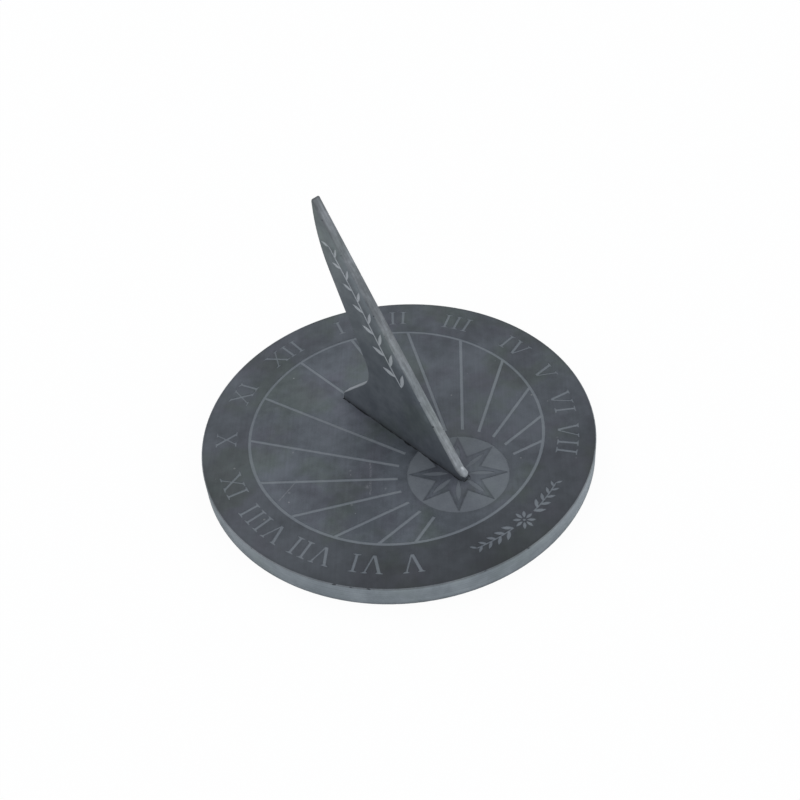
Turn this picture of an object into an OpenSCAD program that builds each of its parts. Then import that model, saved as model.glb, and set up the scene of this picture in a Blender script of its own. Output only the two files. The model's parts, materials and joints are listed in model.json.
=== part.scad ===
// Horizontal garden sundial of slate, in millimetres.
// The origin is the centre of the plate's underside. +Y points to noon, +X to the afternoon side, +Z is up.

/* [Dial plate] */
// Diameter of the sawn slate disc
plate_d = 220; // [190:1:320]
// Thickness of the disc
plate_t = 12.5; // [9:0.5:25]
// Arris break round the top and bottom edge
edge_break = 0.4; // [0.1:0.1:1.5]

/* [Engraving] */
// Diameter of the engraved ring, on its centre line
ring_d = 164.4; // [150:0.2:170]
// Width of the ring
ring_w = 1.8; // [0.6:0.1:4]
// Width of an hour line
line_w = 1.8; // [0.6:0.1:3]
// Depth of everything that is sandblasted into the face
blast_depth = 0.2; // [0.1:0.05:1.5]
// How far the ring's centre, and with it all the engraving and the fin, lies north of the plate's centre
dial_north = 1.4; // [-3:0.1:3]
// Distance of the hour lines' common centre, south of the ring's centre
lines_south = 52.8; // [30:0.1:58]
// Angle from one hour line to the next
hour_step = 15; // [10:0.5:15]
// Hour lines on each side of noon
side_hours = 7; // [4:1:7]

/* [Compass rose] */
// Diameter of the blasted round field
rose_d = 55.2; // [30:0.2:60]
// Distance of the rose's centre, south of the ring's centre
rose_south = 48.8; // [30:0.1:50]
// Clear ring of bare face between the field and the hour lines
rose_gap = 5.1; // [1:0.1:10]
// Points of the star
star_points = 8; // [4:1:16]
// Gap from a point's tip to the edge of the field
tip_gap = 1; // [0.2:0.1:4]
// Radius of the corners between two points
star_notch_r = 13; // [6:0.5:14]
// Radius where the blasted vein in a point starts
vein_start = 5; // [2:0.5:8]
// Length of a vein
vein_len = 15; // [6:0.5:20]
// Width of a vein at its middle
vein_w = 2.8; // [1:0.1:4]

/* [Gnomon] */
// Thickness of the slate fin
gnomon_t = 5.2; // [3:0.1:10]
// Angle of the shadow-casting edge above the plate
style_angle = 53.8; // [40:0.1:60]
// How far south of the hour lines' centre that edge, carried on, would meet the face
style_past = 1.2; // [0:0.1:3]
// Height above the plate at which the tip's two edges would meet
tip_h = 136.6; // [115:0.1:165]
// Rounding of the tip
tip_r = 0.5; // [0.3:0.1:2]
// How far the blunt toe stands out past the root of the shadow-casting edge
toe_past = 0.8; // [0.5:0.1:5]
// Height of the blunt toe
toe_h = 2.8; // [1:0.1:3.4]
// Height at which the toe's slope meets the shadow-casting edge
toe_rise = 5.2; // [3.5:0.1:8]
// Distance of the heel, north of the ring's centre
heel_north = 40; // [30:0.1:60]
// Height of the upright heel
heel_h = 4.8; // [1:0.1:10]
// Slope of the foot's upper edge
foot_angle = 44.2; // [30:0.1:60]
// Radius of the notch between foot and blade
notch_r = 17.4; // [8:0.1:25]
// Lean of the blade's straight back edge, from upright
back_lean = 22.4; // [5:0.1:30]
// Radius of the curve that turns the back edge upright near the tip
shoulder_r = 95; // [30:1:150]
// Length of the upright part of the back edge, under the tip
tip_len = 6; // [2.5:0.1:10]

/* [Slot] */
// Depth of the slot below the plate's face
slot_depth = 6; // [3:0.5:8]
// Resin layer beside the gnomon, on each side
side_bed = 0.3; // [0.1:0.1:1]
// Resin layer under the gnomon
floor_bed = 0.5; // [0.2:0.1:2]
// How far the resin lies below the plate's face
resin_low = 0.4; // [0.1:0.1:2]

/* [Hidden] */
$fn = 96;
// Extra length of a cutting solid past the face that it opens
past = 1;

plate_r = plate_d / 2;
ring_r = ring_d / 2;
rose_r = rose_d / 2;
star_tip_r = rose_r - tip_gap;
slot_w = gnomon_t + 2 * side_bed;
slot_r = slot_w / 2;
// Resin between the foot's square corners and the slot's round ends
corner_bed = side_bed / 2;
corner_r = slot_r - corner_bed;
// The centre of a round slot end lies this far inside the foot's end face
end_inset = sqrt(corner_r * corner_r - gnomon_t * gnomon_t / 4);
root_south = lines_south + style_past;
toe_south = root_south + toe_past;
slot_south = toe_south - end_inset;
slot_north = heel_north - end_inset;
foot_drop = slot_depth - floor_bed;
slate = [0.33, 0.35, 0.375];
slate_fin = [0.29, 0.31, 0.335];
dark_resin = [0.13, 0.14, 0.15];

// Points of the gnomon's outline, as [north of the ring's centre, height above the plate's face]
function along(p, a, s) = [p[0] + s * cos(a), p[1] + s * sin(a)];
function meet(p, a, q, b) = along(p, a, ((q[0] - p[0]) * sin(b) - (q[1] - p[1]) * cos(b)) / sin(b - a));
root = [-root_south, 0];
tip = along(root, style_angle, tip_h / sin(style_angle));
// The tip's rounding touches both edges this far below the corner that they would make
tip_cut = tip_r / tan((90 - style_angle) / 2);
tip_front = along(tip, style_angle, -tip_cut);
tip_back = along(tip, 90, -tip_cut);
tip_c = along(tip_back, 180, tip_r);
shoulder_top = along(tip, 90, -tip_len);
shoulder_c = along(shoulder_top, 180, shoulder_r);
back_top = along(shoulder_c, -back_lean, shoulder_r);
back_dir = 90 - back_lean;
shoulder_corner = meet(back_top, back_dir, tip, 90);
heel_top = [heel_north, heel_h];
foot_dir = 180 - foot_angle;
notch_corner = meet(heel_top, foot_dir, back_top, back_dir);
// The notch's arc touches the foot and the back edge this far from their corner
notch_cut = notch_r * tan((foot_dir - back_dir) / 2);
foot_top = along(notch_corner, foot_dir, -notch_cut);
back_foot = along(notch_corner, back_dir, notch_cut);
notch_c = along(foot_top, foot_dir - 90, notch_r);
toe_nose = [-toe_south, toe_h];
toe_top = along(root, style_angle, toe_rise / sin(style_angle));

// Flat outline of a fan of hour lines, from the rose to the ring
module hour_lines_2d() {
    difference() {
        intersection() {
            translate([0, -lines_south])
                for (hour = [-side_hours : side_hours])
                    rotate(-hour * hour_step)
                        translate([-line_w / 2, 0])
                            square([line_w, plate_d]);
            circle(r = ring_r);
        }
        translate([0, -rose_south])
            circle(r = rose_r + rose_gap);
    }
}

module ring_2d() {
    difference() {
        circle(r = ring_r + ring_w / 2);
        circle(r = ring_r - ring_w / 2);
    }
}

// One point of the star, from the rose's centre to its tip
module star_point_2d() {
    half_turn = 180 / star_points;
    shoulder_x = star_notch_r * sin(half_turn);
    shoulder_y = star_notch_r * cos(half_turn);
    polygon([[0, 0], [shoulder_x, shoulder_y], [0, star_tip_r], [-shoulder_x, shoulder_y]]);
}

// A spindle between two arcs, the blasted vein in the middle of a star point
module vein_2d() {
    half_len = vein_len / 2;
    arc_r = (half_len * half_len + vein_w * vein_w / 4) / vein_w;
    translate([0, vein_start + half_len])
        intersection() {
            translate([arc_r - vein_w / 2, 0])
                circle(r = arc_r);
            translate([vein_w / 2 - arc_r, 0])
                circle(r = arc_r);
        }
}

// What is blasted away in the rose: the round field, apart from the star, and the star's veins
module rose_2d() {
    difference() {
        circle(r = rose_r);
        for (point = [0 : star_points - 1])
            rotate(point * 360 / star_points)
                difference() {
                    star_point_2d();
                    vein_2d();
                }
    }
}

// Outline of the slot, with the round ends that a router leaves
module slot_2d() {
    translate([-slot_r, -slot_south])
        square([slot_w, slot_south + slot_north]);
    for (end_y = [-slot_south, slot_north])
        translate([0, end_y])
            circle(r = slot_r);
}

module sawn_disc() {
    flat_r = plate_r - edge_break;
    rotate_extrude($fn = 180)
        polygon([[0, 0], [flat_r, 0], [plate_r, edge_break], [plate_r, plate_t - edge_break],
            [flat_r, plate_t], [0, plate_t]]);
}

module dial_plate() {
    color(slate)
        difference() {
            sawn_disc();
            translate([0, dial_north, plate_t - blast_depth])
                linear_extrude(blast_depth + past) {
                    ring_2d();
                    hour_lines_2d();
                    translate([0, -rose_south])
                        rose_2d();
                }
            translate([0, dial_north, plate_t - slot_depth])
                linear_extrude(slot_depth + past)
                    slot_2d();
        }
}

// Side view of the fin: north to the right, height up, zero height at the plate's face
module gnomon_outline_2d() {
    difference() {
        polygon([[-toe_south, -foot_drop], [heel_north, -foot_drop], heel_top, foot_top, back_foot,
            back_top, shoulder_top, tip_back, tip_front, toe_top, toe_nose]);
        translate(notch_c)
            circle(r = notch_r);
    }
    intersection() {
        translate(shoulder_c)
            circle(r = shoulder_r);
        polygon([back_top, shoulder_corner, shoulder_top]);
    }
    translate(tip_c)
        circle(r = tip_r);
}

module gnomon() {
    color(slate_fin)
        translate([-gnomon_t / 2, dial_north, plate_t])
            rotate([90, 0, 90])
                linear_extrude(gnomon_t)
                    gnomon_outline_2d();
}

module slot_resin() {
    color(dark_resin)
        difference() {
            translate([0, dial_north, plate_t - slot_depth])
                linear_extrude(slot_depth - resin_low)
                    slot_2d();
            translate([-gnomon_t / 2, dial_north - toe_south, plate_t - foot_drop])
                cube([gnomon_t, toe_south + heel_north, foot_drop + past]);
        }
}

dial_plate();
gnomon();
slot_resin();
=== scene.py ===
# %% [markdown]
# # A slate sundial for the garden
# The real dial is three pieces: a sawn disc of slate, a slate fin that throws the shadow, and the resin
# that holds the fin in its slot. The lesson loads them as fixed sizes and then gives each its finish: cut
# numerals, a leaf ornament, chipped arrises and the colours of honed, sawn and sandblasted slate.

# %% Load the fixed frame
import json
import math
import random

import bmesh
import bpy
from mathutils import Matrix, Vector

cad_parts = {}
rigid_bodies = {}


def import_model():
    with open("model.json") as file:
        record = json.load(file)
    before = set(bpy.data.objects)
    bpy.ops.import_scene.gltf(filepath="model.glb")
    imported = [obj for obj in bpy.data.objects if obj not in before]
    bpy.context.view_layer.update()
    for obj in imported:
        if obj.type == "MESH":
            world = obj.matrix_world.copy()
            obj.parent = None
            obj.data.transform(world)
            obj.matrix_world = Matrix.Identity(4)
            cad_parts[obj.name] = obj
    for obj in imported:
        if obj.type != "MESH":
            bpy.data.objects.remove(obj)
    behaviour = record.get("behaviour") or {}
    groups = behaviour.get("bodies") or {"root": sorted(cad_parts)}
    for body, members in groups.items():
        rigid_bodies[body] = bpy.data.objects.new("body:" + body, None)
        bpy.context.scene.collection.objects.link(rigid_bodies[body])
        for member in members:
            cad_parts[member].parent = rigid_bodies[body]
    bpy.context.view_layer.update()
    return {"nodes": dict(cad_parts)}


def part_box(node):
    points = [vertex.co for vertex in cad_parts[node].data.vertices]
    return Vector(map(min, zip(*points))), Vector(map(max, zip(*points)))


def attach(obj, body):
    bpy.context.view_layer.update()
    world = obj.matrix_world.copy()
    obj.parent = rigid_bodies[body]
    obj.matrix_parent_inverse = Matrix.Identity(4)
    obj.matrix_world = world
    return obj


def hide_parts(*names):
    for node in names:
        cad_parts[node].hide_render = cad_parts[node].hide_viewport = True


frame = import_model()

# %% [markdown]
# ## Sizes
# Blender works in metres and a mason in millimetres, so one factor turns the one into the other. The
# pieces' sizes are read from the frame, and the dial's own layout is written down once, here.

# %% Sizes of the stone and of its engraving
MM = 0.001
plate_low, plate_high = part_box("dial_plate")
fin_low, fin_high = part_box("gnomon")
resin_low, resin_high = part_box("slot_resin")
FACE_Z = plate_high.z
PLATE_R = (plate_high.x - plate_low.x) / 2
FIN_T = fin_high.x - fin_low.x
DIAL_NORTH = 1.4 * MM       # the ring's centre lies this far north of the plate's
RING_R = 82.2 * MM
ROSE_SOUTH = 48.8 * MM      # the rose's centre, south of the ring's centre
ROSE_R = 27.6 * MM
STAR_POINTS, STAR_TIP_R, STAR_NOTCH_R = 8, 26.6 * MM, 13 * MM
BLAST_DEPTH = 0.2 * MM
ABOVE = 1 * MM              # how far a cutter stands out of the face that it cuts
dial_centre = Vector((0, DIAL_NORTH, FACE_Z))
rose_centre = dial_centre + Vector((0, -ROSE_SOUTH, 0))
print("in mm: plate radius, face and fin", [round(x / MM, 2) for x in (PLATE_R, FACE_Z, FIN_T)])

# %% [markdown]
# ## Camera
# The photograph looks down at the dial from the south-west. A camera is easiest to place from what it
# looks at: a point on the face, a heading, an elevation and a distance. The roll tips it a little to one
# side.

# %% Place the camera
VIEW_HEADING = 40.122       # degrees east of north
VIEW_ELEVATION = 44.178
VIEW_ROLL = -5.297
VIEW_DISTANCE = 698.67 * MM
VIEW_LENS, VIEW_SENSOR = 54.822, 36     # millimetres
VIEW_POINT = Vector((17.81 * MM, 16.52 * MM, FACE_Z))
scene = bpy.context.scene


def compass(degrees):
    """A level direction, in degrees east of north."""
    return Vector((math.sin(math.radians(degrees)), math.cos(math.radians(degrees)), 0))


def place_object(name, data, collection=None):
    """An object that shows some data, in the scene or in a collection of its own."""
    made = bpy.data.objects.new(name, data)
    (collection or scene.collection).objects.link(made)
    return made


elevation, roll = math.radians(VIEW_ELEVATION), math.radians(VIEW_ROLL)
forward = compass(VIEW_HEADING) * math.cos(elevation) - Vector((0, 0, math.sin(elevation)))
level = forward.cross(Vector((0, 0, 1))).normalized()
upward = level.cross(forward)
side_axis = math.cos(roll) * level + math.sin(roll) * upward
up_axis = -math.sin(roll) * level + math.cos(roll) * upward
camera = place_object("camera", bpy.data.cameras.new("camera"))
camera.data.lens = VIEW_LENS
camera.data.sensor_width = VIEW_SENSOR
camera.matrix_world = Matrix.Translation(VIEW_POINT - VIEW_DISTANCE * forward) @ Matrix(
    (side_axis, up_axis, -forward)).transposed().to_4x4()
bpy.context.scene.camera = camera
print("camera at", [round(x, 3) for x in camera.location])

# %% [markdown]
# ## Floor and light
# The dial stands on a plain white floor. Light Path tells the floor's material which rays come straight
# from the camera: for those it glows nearly white, so the backdrop stays clean while a trace of shadow is
# kept. The world gives most of the light, and three weak soft lamps shape it: one behind the dial, one on
# its right and one on its left. Much of what darkens the face beside the fin is the part of the bright
# world that the fin hides; painted shade and painted light on the face beside it finish that shadow.

# %% Helpers that write node trees
def add(tree, kind, inputs=None, **settings):
    """Adds a node, sets its properties, and fills its inputs with values or links."""
    made = tree.nodes.new(kind)
    for key, value in settings.items():
        setattr(made, key, value)
    for key, value in (inputs or {}).items():
        if isinstance(value, bpy.types.NodeSocket):
            tree.links.new(value, made.inputs[key])
        else:
            made.inputs[key].default_value = value
    return made


def tree_of(values):
    """The node tree of the first value that is a socket, since a socket knows the tree that it is in."""
    return next(value.id_data for value in values if isinstance(value, bpy.types.NodeSocket))


def math_node(operation, a, b=0.0, c=0.0):
    """The result of one Math node."""
    return add(tree_of((a, b, c)), "ShaderNodeMath", {0: a, 1: b, 2: c}, operation=operation).outputs[0]


def times(product, *factors):
    """The product of several values."""
    for factor in factors:
        product = math_node("MULTIPLY", product, factor)
    return product


def plus(total, *others):
    """The sum of several values."""
    for other in others:
        total = math_node("ADD", total, other)
    return total


def ramp(value, low, high, to_low=0.0, to_high=1.0):
    """Spreads a value's range from low to high over another range, and stops at its ends."""
    return add(value.id_data, "ShaderNodeMapRange", {
        "Value": value, "From Min": low, "From Max": high, "To Min": to_low, "To Max": to_high}).outputs[0]


def split(vector):
    """The three numbers of a vector."""
    return add(vector.id_data, "ShaderNodeSeparateXYZ", {"Vector": vector}).outputs


def joined(x=0.0, y=0.0, z=0.0):
    """A vector of three numbers."""
    return add(tree_of((x, y, z)), "ShaderNodeCombineXYZ", {"X": x, "Y": y, "Z": z}).outputs[0]


# %% Tones, and materials by name
def tone(red, green, blue):
    """A colour as the eye reads it, 0 to 255, turned into the linear values that a shader works in."""
    shares = [c / 255 for c in (red, green, blue)]
    return [s / 12.92 if s <= 0.04045 else ((s + 0.055) / 1.055) ** 2.4 for s in shares] + [1]


def named_material(name):
    """The material of that name, made if there is none yet."""
    return bpy.data.materials.get(name) or bpy.data.materials.new(name)


def empty_tree(owner):
    """The node tree of a material or of the world, emptied."""
    owner.use_nodes = True
    owner.node_tree.nodes.clear()
    return owner.node_tree


WHITE, BLACK = (1, 1, 1, 1), (0, 0, 0, 1)
print("white is", tone(255, 255, 255), "and middle grey", [round(c, 3) for c in tone(128, 128, 128)])

# %% The floor
FLOOR_SIZE = 6
FLOOR_GLOW = 0.95           # share of pure white in what the camera sees of the floor
floor_material = named_material("floor_white")
tree = empty_tree(floor_material)
matt = add(tree, "ShaderNodeBsdfDiffuse", {"Color": tone(232, 232, 232)})
glow = add(tree, "ShaderNodeEmission", {"Color": WHITE, "Strength": 1})
seen = times(add(tree, "ShaderNodeLightPath").outputs["Is Camera Ray"], FLOOR_GLOW)
both = add(tree, "ShaderNodeMixShader", {0: seen, 1: matt.outputs[0], 2: glow.outputs[0]})
add(tree, "ShaderNodeOutputMaterial", {"Surface": both.outputs[0]})
half = FLOOR_SIZE / 2
floor_corners = [(-half, -half, 0), (half, -half, 0), (half, half, 0), (-half, half, 0)]
floor_mesh = bpy.data.meshes.new("floor")
floor_mesh.from_pydata(floor_corners, [], [(0, 1, 2, 3)])
floor_mesh.materials.append(floor_material)
floor = place_object("floor", floor_mesh)
print("floor", FLOOR_SIZE, "m across")

# %% The world and the lamps
WORLD_STRENGTH = 0.9
LAMP_FAR, LAMP_SIZE = 4, 2.7    # metres
LAMPS = {"lamp_back": (0, 45, 24), "lamp_right": (150, 30, 35), "lamp_left": (-60, 35, 22)}
# Each lamp has a compass heading and a height above the horizon, in degrees, and a power in watts.
world = bpy.data.worlds.new("studio")
scene.world = world
tree = empty_tree(world)
fill = add(tree, "ShaderNodeBackground", {"Color": tone(246, 250, 255), "Strength": WORLD_STRENGTH})
white = add(tree, "ShaderNodeBackground", {"Color": WHITE, "Strength": 1})
seen = add(tree, "ShaderNodeLightPath").outputs["Is Camera Ray"]
both = add(tree, "ShaderNodeMixShader", {0: seen, 1: fill.outputs[0], 2: white.outputs[0]})
add(tree, "ShaderNodeOutputWorld", {"Surface": both.outputs[0]})

for name, (heading, height, power) in LAMPS.items():
    a, e = math.radians(heading), math.radians(height)
    away = LAMP_FAR * Vector((math.sin(a) * math.cos(e), math.cos(a) * math.cos(e), math.sin(e)))
    light = bpy.data.lights.new(name, "AREA")
    light.size = LAMP_SIZE
    light.energy = power
    turn = away.to_track_quat("Z", "Y").to_matrix().to_4x4()
    place_object(name, light).matrix_world = Matrix.Translation(away) @ turn
scene.view_settings.view_transform = "Standard"
print("world", WORLD_STRENGTH, "lamps", list(LAMPS))

# %% [markdown]
# ## Cutters for the numerals
# The numerals are sandblasted through a stencil: flat strokes, 0.2 mm deep. On the model each stroke is a
# prism, and the prisms of one letter overlap like paper strips. I, V and X are enough for all the hours.
# A thick and a thin stroke and a bracketed serif give them their book-face look.

# %% Strokes and serifs as flat outlines
CAP_H = 11.7                # height of a letter, in millimetres like all of the letters' sizes
THICK, HEAVY, THIN = 1.55, 1.15 * 1.55, 1.0     # widths of an upright, a thick slanting and a thin stroke
SERIF_H, BRACKET_H = 0.5, 1.0
TUCK = 0.06                 # one strip ends this far inside the next, so that they really cross


def stroke(foot_x, top_x, width, foot_y=TUCK):
    """A straight stroke from just inside the foot line, or from a height, to just inside the cap line."""
    half = width / 2
    lean = (top_x - foot_x) / CAP_H
    low_x, high_x, high_y = foot_x + lean * foot_y, top_x - lean * TUCK, CAP_H - TUCK
    return [(low_x - half, foot_y), (low_x + half, foot_y), (high_x + half, high_y), (high_x - half, high_y)]


def serif(x, lean, width, reach, at_top):
    """A serif at one end of a stroke, which moves sideways by lean for each millimetre of height."""
    half = width / 2 - TUCK
    shift = lean * BRACKET_H
    low = [(x - reach, 0), (x + reach, 0), (x + reach, SERIF_H), (x + shift + half, BRACKET_H),
           (x + shift - half, BRACKET_H), (x - reach, SERIF_H)]
    return [(2 * x - px, CAP_H - py) for px, py in low] if at_top else low


def letter_outlines(letter):
    """The overlapping outlines of one letter, with its middle at x = 0."""
    if letter == "I":
        return [stroke(0, 0, THICK), serif(0, 0, THICK, 2.2, False), serif(0, 0, THICK, 2.2, True)]
    if letter == "V":
        thick_x, thin_x, meet_x = -3.8, 4.1, 0.35
        return [stroke(0, thick_x, HEAVY, 0), stroke(meet_x, thin_x, THIN, 3 * TUCK),
                serif(thick_x, thick_x / CAP_H, HEAVY, 1.9, True),
                serif(thin_x, (thin_x - meet_x) / CAP_H, THIN, 1.6, True)]
    left, right, thin_x = -4.1, 4.2, 4.2 - 0.3
    lean = (right - left) / CAP_H
    return [stroke(right, left, HEAVY), stroke(left, thin_x, THIN),
            serif(right, -lean, HEAVY, 1.8, False), serif(left, -lean, HEAVY, 1.7, True),
            serif(left, lean, THIN, 1.7, False), serif(thin_x, lean, THIN, 1.6, True)]


print("letter outlines", {letter: len(letter_outlines(letter)) for letter in "IVX"})

# %% The stencils as prisms
LEAF_STEPS, EYE_SIDES = 8, 16
PETAL = 5.0, 1.9, 1.3       # length and width of a petal in the rosette, and how far out it starts
EYE_R = 0.8                 # the rosette's round eye


def prism(mesh, outline, low, high):
    """Adds a closed prism over a flat outline, given anticlockwise in millimetres, between two heights."""
    ends = [[mesh.verts.new((x * MM, y * MM, z)) for x, y in outline] for z in (low, high)]
    mesh.faces.new(ends[0][::-1])
    mesh.faces.new(ends[1])
    for i in range(len(outline)):
        j = (i + 1) % len(outline)
        mesh.faces.new((ends[0][i], ends[0][j], ends[1][j], ends[1][i]))


def leaf_outline(length, width, start):
    """A pointed leaf between two arcs. Its tip is up, and its foot is at a height above the origin."""
    shares = [k / LEAF_STEPS for k in range(LEAF_STEPS + 1)]
    rim = [(width / 2 * math.sin(math.pi * share), start + length * share) for share in shares]
    return rim + [(-x, y) for x, y in rim[-2:0:-1]]


def cutter_object(name, outlines, collection):
    """An object whose mesh is a stack of prisms that reach from the blasted floor to above the face."""
    shape = bmesh.new()
    for outline in outlines:
        prism(shape, outline, -BLAST_DEPTH, ABOVE)
    mesh = bpy.data.meshes.new(name)
    shape.to_mesh(mesh)
    shape.free()
    return place_object(name, mesh, collection)


eye_turns = [math.tau * k / EYE_SIDES for k in range(EYE_SIDES)]
SHAPES = {letter: letter_outlines(letter) for letter in "IVX"}
SHAPES["petal"] = [leaf_outline(*PETAL)]
SHAPES["eye"] = [[(EYE_R * math.cos(turn), EYE_R * math.sin(turn)) for turn in eye_turns]]
stencils = bpy.data.collections.new("stencils")
for number, (letter, outlines) in enumerate(SHAPES.items()):
    cutter_object(f"stencil_{number}_{letter}", outlines, stencils)

# %% [markdown]
# ## Setting out the dial with Geometry Nodes
# A mason marks the places on the stone and then lays the same few stencils on them. Geometry Nodes do the
# same: a point for each letter carries which stencil it takes and how far it is turned, Instance on
# Points lays the stencils, and one Mesh Boolean welds the overlapping strips into clean cutters.

# %% Helpers that build, run and close a geometry tree
WELD = 0.001 * MM           # corners that lie nearer than this are one corner


def geometry_tree(name, inputs):
    """A geometry node tree, the sockets of its inputs, and the identifiers of those it names."""
    tree = bpy.data.node_groups.new(name, "GeometryNodeTree")
    tree.interface.new_socket("Geometry", in_out="INPUT", socket_type="NodeSocketGeometry")
    identifiers = {}
    for label, kind in inputs.items():
        socket = tree.interface.new_socket(label, in_out="INPUT", socket_type="NodeSocket" + kind)
        identifiers[label] = socket.identifier
    tree.interface.new_socket("Geometry", in_out="OUTPUT", socket_type="NodeSocketGeometry")
    return tree, tree.nodes.new("NodeGroupInput").outputs, identifiers


def mark_value(tree, name, kind):
    """What a point carries under a name."""
    return add(tree, "GeometryNodeInputNamedAttribute", {"Name": name}, data_type=kind).outputs["Attribute"]


def rotation(angles):
    """The rotation that three angles make."""
    return add(angles.id_data, "FunctionNodeEulerToRotation", {"Euler": angles}).outputs[0]


def finish_tree(tree, geometry, material):
    """Realize Instances, a weld of what overlaps, and Set Material, as every tree here ends."""
    real = add(tree, "GeometryNodeRealizeInstances", {"Geometry": geometry}).outputs[0]
    weld = add(tree, "GeometryNodeMeshBoolean", {"Mesh 2": real, "Self Intersection": True},
               operation="UNION", solver="EXACT")
    faced = add(tree, "GeometryNodeSetMaterial", {"Geometry": weld.outputs["Mesh"], "Material": material})
    add(tree, "NodeGroupOutput", {"Geometry": faced.outputs[0]})


def evaluated_mesh(body):
    """A plain mesh of what an object's modifiers make of it. The object has done its work and is removed."""
    bpy.context.view_layer.update()
    made = bpy.data.meshes.new_from_object(body.evaluated_get(bpy.context.evaluated_depsgraph_get()))
    body.modifiers.clear()
    bpy.data.objects.remove(body)
    return made


def run_tree(mesh, tree, identifiers, values):
    """The mesh that a tree makes from a starting mesh, with its inputs set by their identifiers."""
    carrier = place_object("carrier", mesh)
    modifier = carrier.modifiers.new(tree.name, "NODES")
    modifier.node_group = tree
    for label, value in values.items():
        modifier[identifiers[label]] = value
    return evaluated_mesh(carrier)


def marked_points(name, places, marks):
    """A mesh of loose points. Each mark has a name, a kind, and a value or three for every point."""
    mesh = bpy.data.meshes.new(name)
    mesh.from_pydata(places, [], [])
    for label, (kind, values) in marks.items():
        mark = mesh.attributes.new(label, kind, "POINT")
        mark.data.foreach_set("vector" if kind == "FLOAT_VECTOR" else "value", values)
    return mesh


def tidy(mesh):
    """Joins corners that a cut left on top of each other, and returns how many edges are open."""
    skin = bmesh.new()
    skin.from_mesh(mesh)
    bmesh.ops.remove_doubles(skin, verts=skin.verts, dist=WELD)
    loose = sum(len(edge.link_faces) != 2 for edge in skin.edges)
    skin.to_mesh(mesh)
    skin.free()
    return loose


# %% A tree that lays stencils on marked points
marks_tree, given, marks_ids = geometry_tree("lay_stencils", {
    "Stencils": "Collection", "Finish": "Material"})
kit = add(marks_tree, "GeometryNodeCollectionInfo", {
    "Collection": given["Stencils"], "Separate Children": True, "Reset Children": True})
angles = joined(z=mark_value(marks_tree, "turn", "FLOAT"))
laid = add(marks_tree, "GeometryNodeInstanceOnPoints", {
    "Points": given["Geometry"], "Instance": kit.outputs[0], "Pick Instance": True,
    "Instance Index": mark_value(marks_tree, "stencil", "INT"), "Rotation": rotation(angles)})
finish_tree(marks_tree, laid.outputs[0], given["Finish"])
print("tree", marks_tree.name, "has", len(marks_tree.nodes), "nodes")

# %% The hours' places round the ring
LETTER_FOOT_R = 89.75 * MM  # from the letters' own centre to their foot line
LETTERS_EAST = 0.35 * MM    # that centre lies this far east of the ring's, since they were set by hand
ADVANCE = {"I": 3.85, "V": 7.65, "X": 7.1}   # room that a letter takes, in degrees
HOURS = [("V", -141.5), ("VI", -127.4), ("VII", -109.1), ("VIII", -89.1), ("IX", -69.3), ("X", -47.6),
         ("XI", -24.9), ("XII", -1), ("I", 22.4), ("II", 44.3), ("III", 66.5), ("IV", 91.4), ("V", 108.5),
         ("VI", 124.4), ("VII", 141.7)]
SPRAY_R = 96.4 * MM         # the middle of the band that holds the ornament
PETALS = 8
letter_centre = dial_centre + Vector((LETTERS_EAST, 0, 0))
marks = []                  # place on the face, stencil's name and clockwise turn in degrees
for numeral, middle in HOURS:
    at = middle - sum(ADVANCE[letter] for letter in numeral) / 2
    for letter in numeral:
        at += ADVANCE[letter] / 2
        marks.append((letter_centre + LETTER_FOOT_R * compass(at), letter, at))
        at += ADVANCE[letter] / 2
rosette_centre = dial_centre + Vector((0, -SPRAY_R, 0))
for petal in range(PETALS):
    marks.append((rosette_centre, "petal", petal * 360 / PETALS))
marks.append((rosette_centre, "eye", 0))

blasted = named_material("blasted_line")
points = marked_points("marks", [place for place, _, _ in marks], {
    "stencil": ("INT", [list(SHAPES).index(name) for _, name, _ in marks]),
    "turn": ("FLOAT", [-math.radians(degrees) for _, _, degrees in marks])})
letters = run_tree(points, marks_tree, marks_ids, {"Stencils": stencils, "Finish": blasted})
print(len(marks), "stencils laid,", len(letters.polygons), "faces,", tidy(letters), "open edges")

# %% [markdown]
# ## Leaf sprays
# Leaf sprays fill the south of the rim, where a dial has no hours, and the long flank of the fin. A stem
# follows a line, and leaves sit on it left and right in turn, smaller towards the end. The tree takes any
# line, so one tree makes the cutters of all three sprays.

# %% A tree that grows leaves along a line
spray_tree, given, spray_ids = geometry_tree("leaf_spray", {
    "Leaf": "Object", "Leaves": "Int", "Lean": "Float", "Last Leaf": "Float", "Stem Width": "Float",
    "Finish": "Material"})
line = add(spray_tree, "GeometryNodeMeshToCurve", {"Mesh": given["Geometry"]}).outputs[0]
evenly = add(spray_tree, "GeometryNodeResampleCurve", {"Curve": line, "Count": given["Leaves"]})
parts = split(add(spray_tree, "GeometryNodeInputTangent").outputs[0])
course = math_node("ARCTAN2", parts["Y"], parts["X"])
# Even leaves lean to one side and odd ones to the other: 0 and 1 become -1 and 1.
parity = math_node("MODULO", add(spray_tree, "GeometryNodeInputIndex").outputs[0], 2)
side = math_node("MULTIPLY_ADD", parity, 2, -1)
aim = plus(course, math_node("MULTIPLY_ADD", side, given["Lean"], -math.pi / 2))
along = add(spray_tree, "GeometryNodeSplineParameter").outputs["Factor"]
size = ramp(along, 0, 1, 1, given["Last Leaf"])
leaf = add(spray_tree, "GeometryNodeObjectInfo", {"Object": given["Leaf"]}).outputs["Geometry"]
leaves = add(spray_tree, "GeometryNodeInstanceOnPoints", {
    "Points": evenly.outputs[0], "Instance": leaf, "Rotation": rotation(joined(z=aim)),
    "Scale": joined(size, size, 1)})
upright = add(spray_tree, "GeometryNodeSetCurveNormal", {"Curve": line}, mode="Z_UP").outputs[0]
strip = add(spray_tree, "GeometryNodeCurvePrimitiveQuadrilateral", {
    "Width": given["Stem Width"], "Height": BLAST_DEPTH + ABOVE}).outputs[0]
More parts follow.
